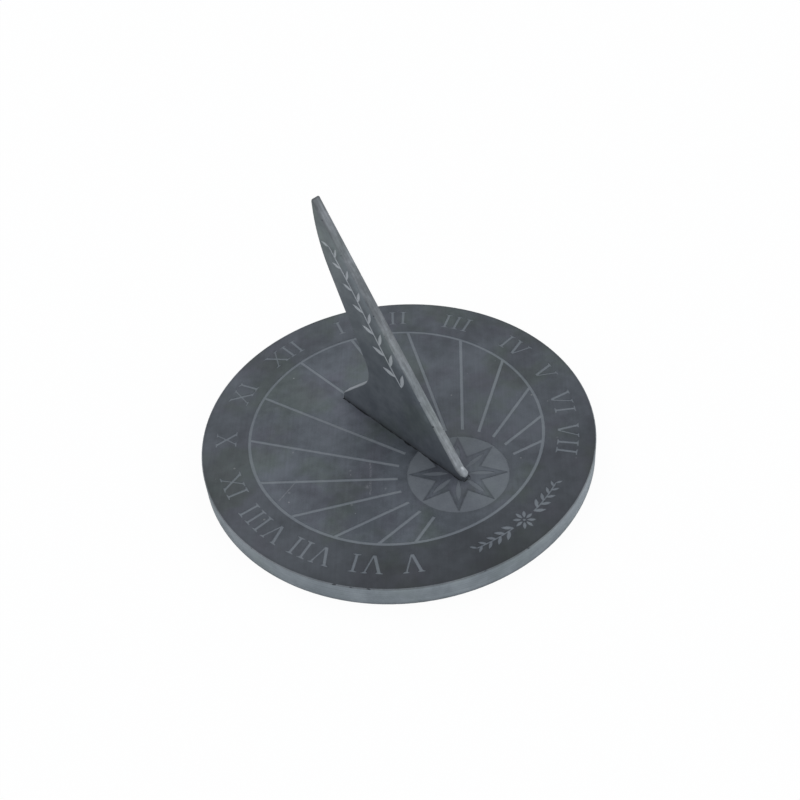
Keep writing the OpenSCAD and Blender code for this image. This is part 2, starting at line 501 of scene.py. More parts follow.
stem = add(spray_tree, "GeometryNodeCurveToMesh", {
    "Curve": upright, "Profile Curve": strip, "Fill Caps": True})
lifted = add(spray_tree, "GeometryNodeSetPosition", {
    "Geometry": stem.outputs[0], "Offset": (0, 0, (ABOVE - BLAST_DEPTH) / 2)})
grown = add(spray_tree, "GeometryNodeJoinGeometry")
for part in (leaves, lifted):
    spray_tree.links.new(part.outputs[0], grown.inputs[0])
finish_tree(spray_tree, grown.outputs[0], given["Finish"])
print("tree", spray_tree.name, "has", len(spray_tree.nodes), "nodes")

# %% The two sprays on the south of the rim
LEAF_FOOT = 0.4             # a leaf's foot lies this far inside its stem, in millimetres
SPRAY_START, SPRAY_END = 4.6, 18.2      # degrees from due south
RIM_SPRAY = {"leaf_size": (7.2, 2.3), "leaves": 9, "lean_deg": 42, "last": 0.62, "stem_width": 0.8}
RIM_SPRAY_STEPS = 16


def spray(name, places, leaf_size, leaves, lean_deg, last, stem_width, finish):
    """The cutter of one spray along some places, which lie at the height of the face that it is cut into."""
    course = bpy.data.meshes.new(name)
    course.from_pydata(places, [(i, i + 1) for i in range(len(places) - 1)], [])
    made = run_tree(course, spray_tree, spray_ids, {
        "Leaf": cutter_object(name + "_leaf", [leaf_outline(*leaf_size, -LEAF_FOOT)], stencils),
        "Leaves": leaves, "Lean": math.radians(lean_deg), "Last Leaf": last,
        "Stem Width": stem_width * MM, "Finish": named_material(finish)})
    print(name, "cutter:", len(made.polygons), "faces,", tidy(made), "open edges")
    return made


rim_sprays = []
SPRAY_TURN = SPRAY_END - SPRAY_START
steps = [SPRAY_START + SPRAY_TURN * k / RIM_SPRAY_STEPS for k in range(RIM_SPRAY_STEPS + 1)]
for hand in (-1, 1):
    places = [dial_centre + SPRAY_R * compass(180 + hand * step) for step in steps]
    rim_sprays.append(spray("rim_spray", places, finish="blasted_line", **RIM_SPRAY))

# %% [markdown]
# ## The plate
# The disc comes from the frame as loose triangles. A copy is merged into one closed skin, and the cutters
# are taken out of it with Boolean modifiers, as a grinder would chip it and a sandblaster would etch it.

# %% Helpers that copy a CAD piece, carve it and shade it
SHARP = 32                  # an edge that turns by more than this many degrees stays sharp
SAME_WAY = 0.9999           # two directions whose dot product is above this are the same


def merged_skin(node):
    """A bmesh of a CAD node with its loose triangles joined into one closed skin."""
    skin = bmesh.new()
    skin.from_mesh(frame["nodes"][node].data)
    bmesh.ops.remove_doubles(skin, verts=skin.verts, dist=WELD)
    return skin


def plain_mesh(skin, name):
    """A mesh with a bmesh's corners and faces and nothing else, in the stone's own material."""
    skin.verts.ensure_lookup_table()
    skin.verts.index_update()
    mesh = bpy.data.meshes.new(name)
    mesh.from_pydata([v.co for v in skin.verts], [], [[v.index for v in f.verts] for f in skin.faces])
    mesh.materials.append(stone)
    skin.free()
    return mesh


def carve(mesh, cutters):
    """The mesh with the cutters taken out of it. What a cutter leaves keeps the cutter's material."""
    body = place_object("carved", mesh)
    tools = [place_object("cutter", cutter) for cutter in cutters]
    for tool in tools:
        cut = body.modifiers.new("cut", "BOOLEAN")
        cut.operation = "DIFFERENCE"
        cut.solver = "MANIFOLD"
        cut.material_mode = "TRANSFER"
        cut.object = tool
    made = evaluated_mesh(body)
    for tool in tools:
        bpy.data.objects.remove(tool)
    return made


def sort_faces(mesh, finishes, choose):
    """Gives each face that still has the stone's own material the finish that choose names for it."""
    slots = {material.name: i for i, material in enumerate(mesh.materials) if material}
    for name in finishes:
        if name not in slots:
            mesh.materials.append(bpy.data.materials[name])
            slots[name] = len(mesh.materials) - 1
    counts = {}
    for face in mesh.polygons:
        if mesh.materials[face.material_index].name == stone.name:
            face.material_index = slots[choose(face.center, face.normal)]
        name = mesh.materials[face.material_index].name
        counts[name] = counts.get(name, 0) + 1
    for index in reversed(range(len(mesh.materials))):
        if mesh.materials[index].name not in counts:
            mesh.materials.pop(index=index)
    return counts


def shade(mesh, axis):
    """Smooth shading, with sharp edges at corners and round every face that squarely looks along an axis."""
    skin = bmesh.new()
    skin.from_mesh(mesh)
    for face in skin.faces:
        face.smooth = True
    for edge in skin.edges:
        sides = edge.link_faces
        flats = sum(abs(face.normal[axis]) > SAME_WAY for face in sides)
        edge.smooth = len(sides) == 2 and flats != 1 and edge.calc_face_angle() < math.radians(SHARP)
    skin.to_mesh(mesh)
    skin.free()


stone = named_material("uncut_stone")
print("helpers ready; the disc's skin has", len(merged_skin("dial_plate").faces), "triangles")

# %% [markdown]
# ## Chips on the arrises
# Slate flakes where it is knocked, so its arrises carry small shallow bites. Each bite is a squashed
# pebble that a Geometry Nodes tree lays on a marked point. The points come from a seeded draw, so that
# every run of the script chips the stone alike.

# %% A tree that lays pebbles on marked points
chips_tree, given, chips_ids = geometry_tree("lay_pebbles", {"Finish": "Material"})
pebble = add(chips_tree, "GeometryNodeMeshIcoSphere", {"Radius": 1, "Subdivisions": 3})
bites = add(chips_tree, "GeometryNodeInstanceOnPoints", {
    "Points": given["Geometry"], "Instance": pebble.outputs[0],
    "Rotation": rotation(mark_value(chips_tree, "tip", "FLOAT_VECTOR")),
    "Scale": mark_value(chips_tree, "size", "FLOAT_VECTOR")})
finish_tree(chips_tree, bites.outputs[0], given["Finish"])


def chips(places):
    """The cutter for some chips. Each has a place, three half lengths in millimetres and a turn."""
    dots = marked_points("chip_places", [place for place, _, _ in places], {
        "size": ("FLOAT_VECTOR", [number for _, size, _ in places for number in Vector(size) * MM]),
        "tip": ("FLOAT_VECTOR", [number for _, _, turn in places for number in turn])})
    return run_tree(dots, chips_tree, chips_ids, {"Finish": named_material("chipped_slate")})


print("tree", chips_tree.name, "has", len(chips_tree.nodes), "nodes")

# %% Chips round the disc
SEED = 11
RIM_CHIPS = 44              # places for a chip on each of the two arrises
RIM_CHIP_LONG = 1.15        # the longest half length, in millimetres
RIM_CHIP_DEPTH = 0.28, 0.5  # least and most, as a share of the half length
CHIP_TIP = 0.3              # a chip is tipped by up to this many radians
CHIP_PLAY = 0.2, 0.8        # a chip lies this far along its own stretch of the arris, as a share
BOLD_CHIPS = [(-119.6, 1.5), (-123.9, 1.1), (-128.7, 1.3), (-93, 1)]   # degrees from north, half length
BOLD_CLEAR = 2              # degrees on either side of a bold chip that have no other
rng = random.Random(SEED)


def rim_chip(degrees, length, top):
    """One bite out of the disc's top or bottom arris."""
    a = math.radians(degrees)
    place = Vector((PLATE_R * math.sin(a), PLATE_R * math.cos(a), FACE_Z if top else 0))
    depth = rng.uniform(*RIM_CHIP_DEPTH) * length
    tips = [rng.uniform(-CHIP_TIP, CHIP_TIP) for _ in range(3)]
    return place, (length, depth, depth), (tips[0], tips[1], -a + tips[2])


rim_places = [rim_chip(degrees, length, True) for degrees, length in BOLD_CHIPS]
for top in (True, False):
    for station in range(RIM_CHIPS):
        degrees = (station + rng.uniform(*CHIP_PLAY)) * 360 / RIM_CHIPS - 180
        half_length = rng.uniform(0.5, 1) ** 2 * RIM_CHIP_LONG
        if not top or min(abs(degrees - bold) for bold, _ in BOLD_CHIPS) > BOLD_CLEAR:
            rim_places.append(rim_chip(degrees, half_length, top))
rim_chips = chips(rim_places)
print("rim chips:", len(rim_places), "pebbles,", len(rim_chips.polygons), "faces")

# %% A ragged groove where the slot's west edge has crumbled
# The groove's walls take the routed slot's near-black finish: painted shade that draws a dark line at the
# fin's foot.
GROOVE_STEPS = 40
GROOVE_W, GROOVE_LEAST, GROOVE_JITTER, GROOVE_DEEP = 0.6, 0.05, 0.3, 1.2   # millimetres
GROOVE_TAPER = 0.6          # share of its width that it has lost at its south end
GROOVE_NORTH, GROOVE_SOUTH = 1.5, 2.6       # it stops this far short of the slot's two ends
GROOVE_LAP = 0.1            # and reaches this far into the slot
SWELLS, SWELL, SWELL_TURN = 5, 0.25, 2.5    # times that it widens, by how much, and where that starts
edge_x = resin_low.x / MM
south_y, north_y = resin_low.y / MM + GROOVE_SOUTH, resin_high.y / MM - GROOVE_NORTH
ragged = []
for k in range(GROOVE_STEPS + 1):
    swell = SWELL * math.sin(math.tau * SWELLS * k / GROOVE_STEPS + SWELL_TURN)
    jitter = rng.uniform(-GROOVE_JITTER, GROOVE_JITTER)
    width = max(GROOVE_LEAST, GROOVE_W * (1 - GROOVE_TAPER * k / GROOVE_STEPS) + swell + jitter)
    ragged.append((edge_x - width, north_y + (south_y - north_y) * k / GROOVE_STEPS))
shape = bmesh.new()
straight = [(edge_x + GROOVE_LAP, south_y), (edge_x + GROOVE_LAP, north_y)]
prism(shape, straight + ragged, FACE_Z - GROOVE_DEEP * MM, FACE_Z + ABOVE)
groove = plain_mesh(shape, "groove")
print("groove:", round(north_y - south_y, 1), "mm long,", tidy(groove), "open edges")

# %% Carve the disc
ARRIS_BAND = 0.6 * MM       # the arrises and their chips lie in this band at the disc's edge
ARRIS_W = 0.14 * MM
ARRIS_TURN = 20             # an edge that turns by more than this many degrees is an arris
skin = merged_skin("dial_plate")
on_rim = [e for e in skin.edges if abs(e.verts[0].co.z - e.verts[1].co.z) < WELD
          and min(v.co.xy.length for v in e.verts) > PLATE_R - ARRIS_BAND
          and e.calc_face_angle() > math.radians(ARRIS_TURN)]
bmesh.ops.bevel(skin, geom=on_rim, offset=ARRIS_W, segments=2, profile=0.5, affect="EDGES")
plate_mesh = carve(plain_mesh(skin, "disc"), [letters] + rim_sprays + [rim_chips, groove])
print("carved disc:", tidy(plate_mesh), "open edges,", len(plate_mesh.polygons), "faces")

# %% [markdown]
# ## The fin
# The fin is sawn from slate 5 mm thick and its arrises are eased by hand: the upper one on the west,
# which the light skims, the most. Its outline comes from the frame. A Bevel modifier rounds each arris by
# its own weight, and then its ends are rounded and the leaf spray and the chips are cut.

# %% Find the style, the long edge that throws the shadow
FLAT_TURN = 0.5             # facets that meet at less than this many degrees are one face
TIP_BAND = 1.2 * MM         # the CAD's small arc at the tip lies in this band below the fin's top
skin = merged_skin("gnomon")
bmesh.ops.dissolve_limit(skin, angle_limit=math.radians(FLAT_TURN), verts=skin.verts, edges=skin.edges)
flank_edges = [e for e in skin.edges if e.verts[0].co.x * e.verts[1].co.x > 0]
style = max(flank_edges, key=lambda e: e.calc_length() if e.verts[0].co.x < 0 else 0)
style_low, style_high = sorted((v.co.copy() for v in style.verts), key=lambda c: c.z)
style_course = (style_high - style_low).normalized()
style_angle = math.atan2(style_course.z, style_course.y)
style_mm = round((style_high - style_low).length / MM, 1)
print("style rises at", round(math.degrees(style_angle), 2), "degrees over", style_mm, "mm")

# The arc at the tip becomes one corner, where the style meets the upright back.
back_y = max(v.co.y for v in skin.verts if v.co.z > fin_high.z - TIP_BAND)
corner = style_low + style_course * ((back_y - style_low.y) / style_course.y)
for flank in (-1, 1):
    arc = [v for v in skin.verts if v.co.z > fin_high.z - TIP_BAND and v.co.x * flank > 0]
    bmesh.ops.pointmerge(skin, verts=arc, merge_co=Vector((flank * FIN_T / 2, corner.y, corner.z)))
fin_blank = plain_mesh(skin, "fin_blank")

# %% Round the fin's arrises
EASED = {"upper_west": 1.1, "upper_east": 0.3, "tip": 2.1, "toe": 2.4, "west": 0.7, "east": 0.36}   # mm
EASE_STEPS = 4
BEDDED = 1 * MM             # an edge that goes deeper than this below the face is left sharp
TOE_BAND = 0.1 * MM         # an edge across the fin in this band at its front is the toe's


def easing(a, b):
    """How much the edge between two corners of the fin is rounded, in millimetres."""
    if min(a.z, b.z) < FACE_Z - BEDDED:
        return 0
    if a.x * b.x < 0:
        if min(a.z, b.z) > fin_high.z:
            return EASED["tip"]
        return EASED["toe"] if a.y < fin_low.y + TOE_BAND and a.z > FACE_Z else 0
    arris = "west" if a.x < 0 else "east"
    return EASED["upper_" + arris if abs((a - b).normalized().dot(style_course)) > SAME_WAY else arris]


widest = max(EASED.values())
weights = [easing(*(fin_blank.vertices[i].co for i in edge.vertices)) / widest for edge in fin_blank.edges]
fin_blank.attributes.new("bevel_weight_edge", "FLOAT", "EDGE").data.foreach_set("value", weights)
holder = place_object("fin_blank", fin_blank)
bevel = holder.modifiers.new("ease", "BEVEL")
bevel.limit_method = "WEIGHT"
bevel.width = widest * MM
bevel.segments = EASE_STEPS
bevel.use_clamp_overlap = False
fin_eased = evaluated_mesh(holder)
over = max(v.co.z for v in fin_eased.vertices) - fin_high.z
print("eased fin:", tidy(fin_eased), "open edges,", len(fin_eased.polygons), "faces, top",
      round(over / MM, 3), "mm above the CAD's")

# %% Round the fin's two ends
END_R = {"tip_west": 1.5, "tip_east": 1.4, "toe_west": 2.3, "toe_east": 2}   # millimetres, seen from above
END_STEPS = 8
CROSSING = 0.03             # the round starts this far outside the stone, so that the two really cross
END_LONG, END_WIDE = 3, 2   # how far a cutter reaches past the stone
TIP_CUT = -5 * MM, 3 * MM   # a cutter's two ends, from the style's own end
TOE_CUT = resin_high.z - FACE_Z, 9 * MM     # and from the face


def corner_outline(flank, radius, end):
    """What lies outside a round corner, at one end of the y axis, in millimetres."""
    half = FIN_T / MM / 2
    inset = radius - CROSSING
    arc = [math.radians(90 * k / END_STEPS) for k in range(END_STEPS + 1)]
    line = [(half - inset + radius * math.cos(a), radius * math.sin(a) - inset) for a in arc]
    line += [(half - inset, END_LONG), (half + END_WIDE, END_LONG), (half + END_WIDE, -inset)]
    line = [(flank * x, end * y) for x, y in line]
    return line if flank * end < 0 else line[::-1]


outward = Vector((0, -style_course.z, style_course.y))
inward = -outward
end_point = max((v.co for v in fin_eased.vertices), key=lambda c: c.dot(style_course))
at_tip = Matrix((Vector((1, 0, 0)), style_course, outward)).transposed().to_4x4()
at_tip.translation = Vector((0, end_point.y, end_point.z))
at_toe = Matrix.Translation((0, fin_low.y, FACE_Z))
end_cutters = []
for name, radius in END_R.items():
    flank = -1 if name.endswith("west") else 1
    end, heights, place = (1, TIP_CUT, at_tip) if name.startswith("tip") else (-1, TOE_CUT, at_toe)
    shape = bmesh.new()
    prism(shape, corner_outline(flank, radius, end), *heights)
    bmesh.ops.transform(shape, matrix=place, verts=shape.verts)
    end_cutters.append(plain_mesh(shape, name))
print("end cutters", [(m.name, len(m.polygons), tidy(m)) for m in end_cutters])

# %% Cut the long spray and the chips into the fin
FIN_SPRAY = {"leaf_size": (11, 3), "leaves": 14, "lean_deg": 46, "last": 0.6, "stem_width": 1.1}
FIN_SPRAY_STEPS = 20
SPRAY_FROM, SPRAY_TO = 52, 136      # along the style from its foot, in millimetres
SPRAY_IN_FROM, SPRAY_IN_TO = 10.4, 7.2   # how far the stem lies in from the style's edge at its two ends
SPRAY_SWAY = 0.5            # and how far it sways from a straight line
FIN_CHIPS = 9               # places for a chip on each of the style's two arrises
FIN_CHIP_LONG = 0.4, 1.1    # least and most half length, in millimetres
FIN_CHIP_DEPTH = 0.3, 0.5   # least and most, as a share of the half length
# The spray is drawn flat and then stood up on the west flank: its x runs south, and its y up.
west_flank = Matrix(((0, 0, -1, -FIN_T / 2), (-1, 0, 0, 0), (0, 1, 0, 0), (0, 0, 0, 1)))
places = []
for k in range(FIN_SPRAY_STEPS + 1):
    share = k / FIN_SPRAY_STEPS
    inset = SPRAY_IN_FROM + (SPRAY_IN_TO - SPRAY_IN_FROM) * share + SPRAY_SWAY * math.sin(math.tau * share)
    up = SPRAY_FROM + (SPRAY_TO - SPRAY_FROM) * share
    place = style_low + style_course * up * MM + inward * inset * MM
    places.append(Vector((-place.y, place.z, 0)))
fin_spray = spray("fin_spray", places, finish="blasted_fin", **FIN_SPRAY)
fin_spray.transform(west_flank)


def fin_chip(share, length, flank):
    """One bite out of an arris of the fin, a share of the way up the style."""
    place = style_low.lerp(style_high, share)
    place.x = flank * FIN_T / 2
    depth = rng.uniform(*FIN_CHIP_DEPTH) * length
    tips = [rng.uniform(-CHIP_TIP, CHIP_TIP) for _ in range(2)]
    return place, (depth, depth, length), (-(style_angle - math.pi / 2) + tips[0], tips[1], 0)


fin_places = [fin_chip((k + rng.uniform(*CHIP_PLAY)) / FIN_CHIPS, rng.uniform(*FIN_CHIP_LONG), flank)
              for k in range(FIN_CHIPS) for flank in (-1, 1)]
fin_chips = chips(fin_places)
fin_mesh = carve(fin_eased, end_cutters + [fin_spray, fin_chips])
print("carved fin:", tidy(fin_mesh), "open edges,", len(fin_mesh.polygons), "faces")

# %% [markdown]
# ## Slate as a material
# Slate is one stone in many skins. Honed, it is dark and a little silky, with clouds of blue and green
# grey. A saw leaves it paler, with fine lines along the cut. Sandblasting leaves it palest and matte.
# Five shared node groups hold what the skins have in common: clouds, fine lines, specks, single
# scratches, and the edge of the star. Each finish then sets its own tones.

# %% Helpers for shader nodes
def shader_group(name, inputs, outputs):
    """A shader node group with its named sockets; returns the tree and its input sockets."""
    tree = bpy.data.node_groups.new(name, "ShaderNodeTree")
    for in_out, sockets in (("INPUT", inputs), ("OUTPUT", outputs)):
        for label, kind in sockets.items():
            tree.interface.new_socket(label, in_out=in_out, socket_type="NodeSocket" + kind)
    return tree, tree.nodes.new("NodeGroupInput").outputs


def use(group, inputs):
    """Places a node group in the tree that its inputs come from."""
    return add(tree_of(inputs.values()), "ShaderNodeGroup", inputs, node_tree=group).outputs


def vector_node(operation, a, b=(0, 0, 0)):
    """The result of one Vector Math node: a number where it measures something, or else a vector."""
    made = add(tree_of((a, b)), "ShaderNodeVectorMath", {0: a, 1: b}, operation=operation)
    return made.outputs["Value" if operation in ("DOT_PRODUCT", "DISTANCE", "LENGTH") else "Vector"]


def blend(share, a, b, mode="MIX"):
    """The result of one colour Mix node. Its colour sockets are numbers 6 and 7, and its result number 2."""
    return add(tree_of((share, a, b)), "ShaderNodeMix", {0: share, 6: a, 7: b}, data_type="RGBA",
               blend_type=mode).outputs[2]


def noise(vector, scale, detail=3.0, roughness=0.55):
    """The value of a noise texture with its features about 1/scale metres across."""
    return add(vector.id_data, "ShaderNodeTexNoise", {
        "Vector": vector, "Scale": scale, "Detail": detail, "Roughness": roughness}).outputs[0]


def fade(value, span, to_low=0.0, to_high=1.0):
    """A ramp over a span that is given in millimetres."""
    return ramp(value, span[0] * MM, span[1] * MM, to_low, to_high)


def stretch(value, begin, full, wane, end):
    """1 over a stretch of a line and 0 beyond it, with a soft start and end, given in millimetres."""
    return times(fade(value, (begin, full)), fade(value, (end, wane)))


# %% Clouds, fine lines and specks
BROAD, PATCHY, GRAIN = (24, 0.55), (150, 0.27), (1500, 0.18)    # features in a metre, and their share
GREEN_ASIDE = 0.31, 0.17, 0.53      # the green clouds are read from another place in the noise

clouds, given = shader_group("slate_clouds", {
    "Vector": "Vector", "Dark": "Color", "Light": "Color", "Green": "Color", "Green Share": "Float"},
    {"Color": "Color", "Grain": "Float"})
broad = noise(given["Vector"], BROAD[0], 4)
patchy = noise(given["Vector"], PATCHY[0], 3)
grain = noise(given["Vector"], GRAIN[0], 2, 0.7)
fine = math_node("MULTIPLY_ADD", patchy, PATCHY[1], times(grain, GRAIN[1]))
summed = math_node("MULTIPLY_ADD", broad, BROAD[1], fine)
stone_tone = blend(ramp(summed, 0.4, 0.6), given["Dark"], given["Light"])
green_at = ramp(noise(vector_node("ADD", given["Vector"], GREEN_ASIDE), 30, 3), 0.5, 0.62)
tinted = blend(times(green_at, given["Green Share"]), stone_tone, given["Green"], "MULTIPLY")
add(clouds, "NodeGroupOutput", {"Color": tinted, "Grain": grain})

lines, given = shader_group("fine_lines", {"Vector": "Vector", "Turn": "Float", "Stretch": "Vector"},
                            {"Lines": "Float"})
turned = add(lines, "ShaderNodeVectorRotate", {"Vector": given["Vector"], "Angle": given["Turn"]},
             rotation_type="Z_AXIS").outputs[0]
drawn_out = vector_node("MULTIPLY", turned, given["Stretch"])
add(lines, "NodeGroupOutput", {"Lines": noise(drawn_out, 1, 3, 0.6)})

specks, given = shader_group("specks", {
    "Vector": "Vector", "Per Metre": "Float", "Size": "Float", "Share": "Float"}, {"Mask": "Float"})
cells = add(specks, "ShaderNodeTexVoronoi", {"Vector": given["Vector"], "Scale": given["Per Metre"]})
lot = add(specks, "ShaderNodeSeparateColor", {0: cells.outputs["Color"]}).outputs
near = math_node("LESS_THAN", cells.outputs["Distance"], times(given["Size"], lot[1]))
drawn = math_node("LESS_THAN", lot[0], given["Share"])
add(specks, "NodeGroupOutput", {"Mask": times(near, drawn)})
print("groups", [clouds.name, lines.name, specks.name])

# %% A single scratch, whole or broken into dots
scratch, given = shader_group("scratch", {
    "Vector": "Vector", "From": "Vector", "To": "Vector", "Width": "Float", "Broken": "Float"},
    {"Mask": "Float"})
reach = vector_node("SUBTRACT", given["Vector"], given["From"])
run_on = vector_node("SUBTRACT", given["To"], given["From"])
over, whole = vector_node("DOT_PRODUCT", reach, run_on), vector_node("DOT_PRODUCT", run_on, run_on)
part = add(scratch, "ShaderNodeMath", {0: over, 1: whole}, operation="DIVIDE", use_clamp=True).outputs[0]
foot = add(scratch, "ShaderNodeVectorMath", {0: run_on, "Scale": part}, operation="SCALE").outputs[0]
off = vector_node("DISTANCE", reach, foot)
dots = ramp(noise(given["Vector"], 900, 2), 0.45, 0.6)
inside = ramp(off, times(given["Width"], 1.5), times(given["Width"], 0.4))
add(scratch, "NodeGroupOutput", {"Mask": times(inside, blend(given["Broken"], WHITE, dots))})
print("group", scratch.name)

# %% The edge of the star, where shade is painted
# The sixteen edges are folded onto one, between a tip and a notch, and the mask follows that line.
STAR_EDGE_IN, STAR_EDGE_W = 0.3 * MM, 1 * MM   # how far inside the edge its middle lies, and its half width
STAR_EDGE_PAST, STAR_EDGE_SHORT = 0.3 * MM, 0.5 * MM    # it fades from inside a tip to outside it
star_edge, given = shader_group("star_edge", {"Vector": "Vector"}, {"Mask": "Float"})
x, y = split(vector_node("SUBTRACT", given["Vector"], tuple(rose_centre)))[:2]
turns = times(math_node("ARCTAN2", x, y), STAR_POINTS / math.tau)
folded = math_node("ABSOLUTE", math_node("SUBTRACT", turns, math_node("ROUND", turns)))
folded = times(folded, math.tau / STAR_POINTS)
radius = vector_node("LENGTH", joined(x, y))
notch = STAR_NOTCH_R * Vector((math.sin(math.pi / STAR_POINTS), math.cos(math.pi / STAR_POINTS)))
edge_way = (notch - Vector((0, STAR_TIP_R))).normalized()
over_x = times(radius, math_node("SINE", folded), edge_way.y)
over_y = times(radius, math_node("COSINE", folded), edge_way.x)
off = plus(math_node("SUBTRACT", over_x, over_y), STAR_TIP_R * edge_way.x - STAR_EDGE_IN)
near = ramp(math_node("ABSOLUTE", off), STAR_EDGE_W, STAR_EDGE_W / 3)
patches = ramp(noise(given["Vector"], 420, 3), 0.3, 0.6, 0.35, 1)
within = ramp(radius, STAR_TIP_R + STAR_EDGE_PAST, STAR_TIP_R - STAR_EDGE_SHORT)
add(star_edge, "NodeGroupOutput", {"Mask": times(within, near, patches)})
print("all groups", [g.name for g in bpy.data.node_groups])

# %% [markdown]
# ## Finishes
# Every finish is one slate material with its own tones, gloss and bump, so one function builds them all.
# What only one of them has, such as scratches, dirt or wear, is laid over its colour afterwards.

# %% One function for every skin of the slate
GRAIN_DEEP = 0.02 * MM      # depth of the stone's grain in a Bump node
GREEN = tone(234, 245, 222)     # the stone's tone is multiplied by it
SPECKS_PER_METRE, SPECK_SIZE, SPECK_SHARE, SPECK_TONE = 420, 0.28, 0.35, tone(150, 152, 152)
GLOSS_PLAY = 0.06           # the roughness changes by this much either way with the grain


def slate(name, dark, light, green_share, rough, lines_turn=0.0, lines_stretch=(30, 900, 900),
          lines_share=0.1, bump=0.3, speckled=0.0):
    """A skin of slate: clouded tones, fine lines along one direction, and a grain that breaks the gloss."""
    tree = empty_tree(named_material(name))
    spot = add(tree, "ShaderNodeTexCoord").outputs["Object"]
    cloud = use(clouds, {"Vector": spot, "Dark": tone(*dark), "Light": tone(*light), "Green": GREEN,
                         "Green Share": green_share})
    line = use(lines, {"Vector": spot, "Turn": math.radians(lines_turn), "Stretch": lines_stretch})["Lines"]
    colour = blend(1, cloud["Color"], ramp(line, 0.3, 0.7, 1 - lines_share, 1 + lines_share), "MULTIPLY")
    if speckled:
        speck = use(specks, {"Vector": spot, "Per Metre": SPECKS_PER_METRE, "Size": SPECK_SIZE,
                             "Share": speckled})
        colour = blend(times(speck["Mask"], SPECK_SHARE), colour, SPECK_TONE)
    relief = math_node("MULTIPLY_ADD", line, 0.5, cloud["Grain"])
    bumps = add(tree, "ShaderNodeBump", {"Strength": bump, "Distance": GRAIN_DEEP, "Height": relief})
    gloss = ramp(cloud["Grain"], 0.3, 0.7, rough - GLOSS_PLAY, rough + GLOSS_PLAY)
    shader = add(tree, "ShaderNodeBsdfPrincipled", {
        "Base Color": colour, "Roughness": gloss, "Normal": bumps.outputs[0], "Specular IOR Level": 0.35})
    add(tree, "ShaderNodeOutputMaterial", {"Surface": shader.outputs[0]})


# %% The finishes
# Each has a dark and a light tone, a share of green, a roughness, and then its lines, bump and specks.
HONE_HEADING = -45          # turn that lays the hone's lines north-east to south-west
BLASTED = {"blasted_line": ((92, 97, 103), (104, 109, 114)),
           "blasted_hour": ((96, 101, 107), (108, 113, 118)),
           "blasted_rose": ((82, 86, 92), (94, 99, 104)),
           # The rose's outer wall is pale: painted light where its shade would show as a dark line.
           "blasted_edge": ((118, 122, 127), (130, 134, 139)),
           "blasted_fin": ((148, 152, 156), (166, 169, 172))}
slate("honed_face", (58, 63, 69), (80, 85, 92), 0.75, 0.55, HONE_HEADING, (20, 700, 1), 0.07, 0.35, 0.012)
slate("sawn_side", (108, 115, 120), (132, 139, 144), 0.2, 0.62, 0, (14, 14, 2600), 0.16, 0.9)
slate("worn_arris", (86, 91, 95), (112, 116, 120), 0.2, 0.55)
slate("chipped_slate", (46, 50, 55), (74, 78, 82), 0.1, 0.6, 0, (300, 300, 900), 0.2, 0.9)
# The routed slot's near-black walls are painted shade in the deep, narrow cuts.
slate("routed_slot", (32, 34, 38), (46, 49, 53), 0.1, 0.7)
slate("cleft_underside", (64, 70, 76), (84, 89, 94), 0.5, 0.66, 20, (8, 60, 1), 0.16, 1)
slate("fin_flank", (73, 78, 83), (95, 100, 104), 0.4, 0.6, 20, (40, 400, 400), 0.06, 0.35)
slate("fin_ground", (105, 110, 113), (127, 130, 134), 0.2, 0.6, 0, (900, 60, 60), 0.1, 0.5)
for name, (dark, light) in BLASTED.items():
    slate(name, dark, light, 0.2, 0.75, 0, (900, 900, 900), 0.06, 0.8)
print("finishes", [m.name for m in bpy.data.materials if m.use_nodes])

# %% [markdown]
# ## Marks on the face
# The honed face has had some use: a dotted scratch runs from west of the fin to the south-west, a short
# one starts at the nine o'clock line, and a few pale specks show. They are colour only, since none is
# deep enough to feel. Outside the ring the face is a little darker than inside, and there is a breath of
# violet in it. Painted shade and light also make the face paler to the north-west and darker to the
# south-east, and the rim darker towards the south and west.

# %% Scratches and specks
MARKS = [((-26.6, -6.3), (-42.4, -23.4), 0.55, 0.9), ((-79.1, 8.9), (-64, 12.6), 0.35, 0.5),
         ((-40.5, -18.3), (-39.4, -19.2), 1, 0.8), ((-38.6, -3.1), (-38.3, -3), 0.5, 0.3),
         ((-51.1, 30.4), (-50.9, 30.6), 0.5, 0.3), ((-63.6, 13.1), (-63.4, 13.2), 0.5, 0.3),
         ((-71.8, 9.3), (-71.6, 9.1), 0.55, 0.3), ((-34.5, -26.7), (-34.2, -26.6), 0.45, 0.3),
         ((-54.6, -21.7), (-54.4, -21.9), 0.5, 0.3), ((55.7, -69), (55.9, -68.9), 0.5, 0),
         ((51.2, -86.4), (51.3, -86.2), 0.4, 0)]     # from, to, half width (all millimetres) and how broken
MARK_TONE, MARK_SHARE = tone(120, 123, 126), 0.4


def open_finish(name):
    """The socket that takes a finish's colour, and the place on the object."""
    nodes = {node.type: node for node in bpy.data.materials[name].node_tree.nodes}
    return nodes["BSDF_PRINCIPLED"].inputs["Base Color"], nodes["TEX_COORD"].outputs["Object"]


def lay(base, share, colour, mode="MIX"):
    """Lays a colour over the one that a colour socket takes so far."""
    base.id_data.links.new(blend(share, base.links[0].from_socket, colour, mode), base)


def tint(base, *factors):
    """Makes the colour that a socket takes paler or darker, by one factor after another."""
    for factor in factors:
        lay(base, 1, factor, "MULTIPLY")


face, face_spot = open_finish("honed_face")
flat_spot = vector_node("MULTIPLY", face_spot, (1, 1, 0))
for (x0, y0), (x1, y1), half_width, broken in MARKS:
    mark = use(scratch, {"Vector": flat_spot, "From": (x0 * MM, y0 * MM, 0), "To": (x1 * MM, y1 * MM, 0),
                         "Width": half_width * MM, "Broken": broken})
    lay(face, times(mark["Mask"], MARK_SHARE), MARK_TONE)
print("marks on the face:", len(MARKS))
